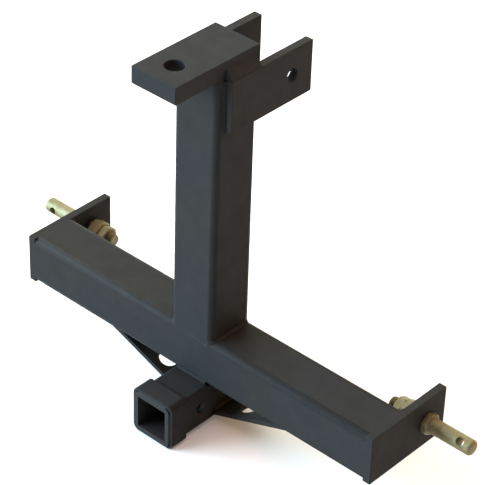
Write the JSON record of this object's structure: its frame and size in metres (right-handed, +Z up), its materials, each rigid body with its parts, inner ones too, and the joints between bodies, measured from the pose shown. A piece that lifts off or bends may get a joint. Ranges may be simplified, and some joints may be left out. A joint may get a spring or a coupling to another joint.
{
  "type": "three-point receiver hitch",
  "caption": "Three-point tractor hitch frame: crossbar with lower link pins, mast with top link ears and ball plate, and a square receiver with chain straps.",
  "frame": {"origin": "on the floor, under the middle of the object's box: the receiver's collar stands on Z = 0", "axes": "+X along the crossbar to the right hitch pin, +Y from the receiver's mouth towards the tractor, +Z up the mast"},
  "size_m": [0.7976, 0.2414, 0.5806],
  "materials": {
    "frame_paint": "satin charcoal powder coat",
    "weld_paint": "the same coat over rippled weld beads",
    "zinc": "pale yellow zinc plating",
    "spring_steel": "dark oiled spring steel"
  },
  "bodies": {
    "frame": {"crossbar_tube": "frame_paint", "mast_tube": "frame_paint", "end_plate_left": "frame_paint", "end_plate_right": "frame_paint", "top_plate": "frame_paint", "top_link_ear_left": "frame_paint", "top_link_ear_right": "frame_paint", "receiver_tube": "frame_paint", "receiver_collar": "frame_paint", "chain_strap_left": "frame_paint", "chain_strap_right": "frame_paint", "weld_mast_base": "weld_paint", "weld_top_plate": "weld_paint", "weld_top_link_ears": "weld_paint", "weld_end_plates": "weld_paint", "weld_receiver": "weld_paint", "weld_collar": "weld_paint", "weld_chain_straps": "weld_paint"},
    "left_pin": {"hitch_pin_left": "zinc", "lock_washer_left": "spring_steel", "hitch_nut_left": "zinc", "jam_nut_left": "zinc"},
    "right_pin": {"hitch_pin_right": "zinc", "lock_washer_right": "spring_steel", "hitch_nut_right": "zinc", "jam_nut_right": "zinc"}
  },
  "joints": [
    {"name": "left_pin_turn", "type": "hinge", "parent": "frame", "child": "left_pin", "pos_m": [-0.31433, 0.06985, 0.10636], "axis": [-1, 0, 0], "continuous": true},
    {"name": "right_pin_turn", "type": "hinge", "parent": "frame", "child": "right_pin", "pos_m": [0.31433, 0.06985, 0.10636], "axis": [1, 0, 0], "continuous": true}
  ]
}
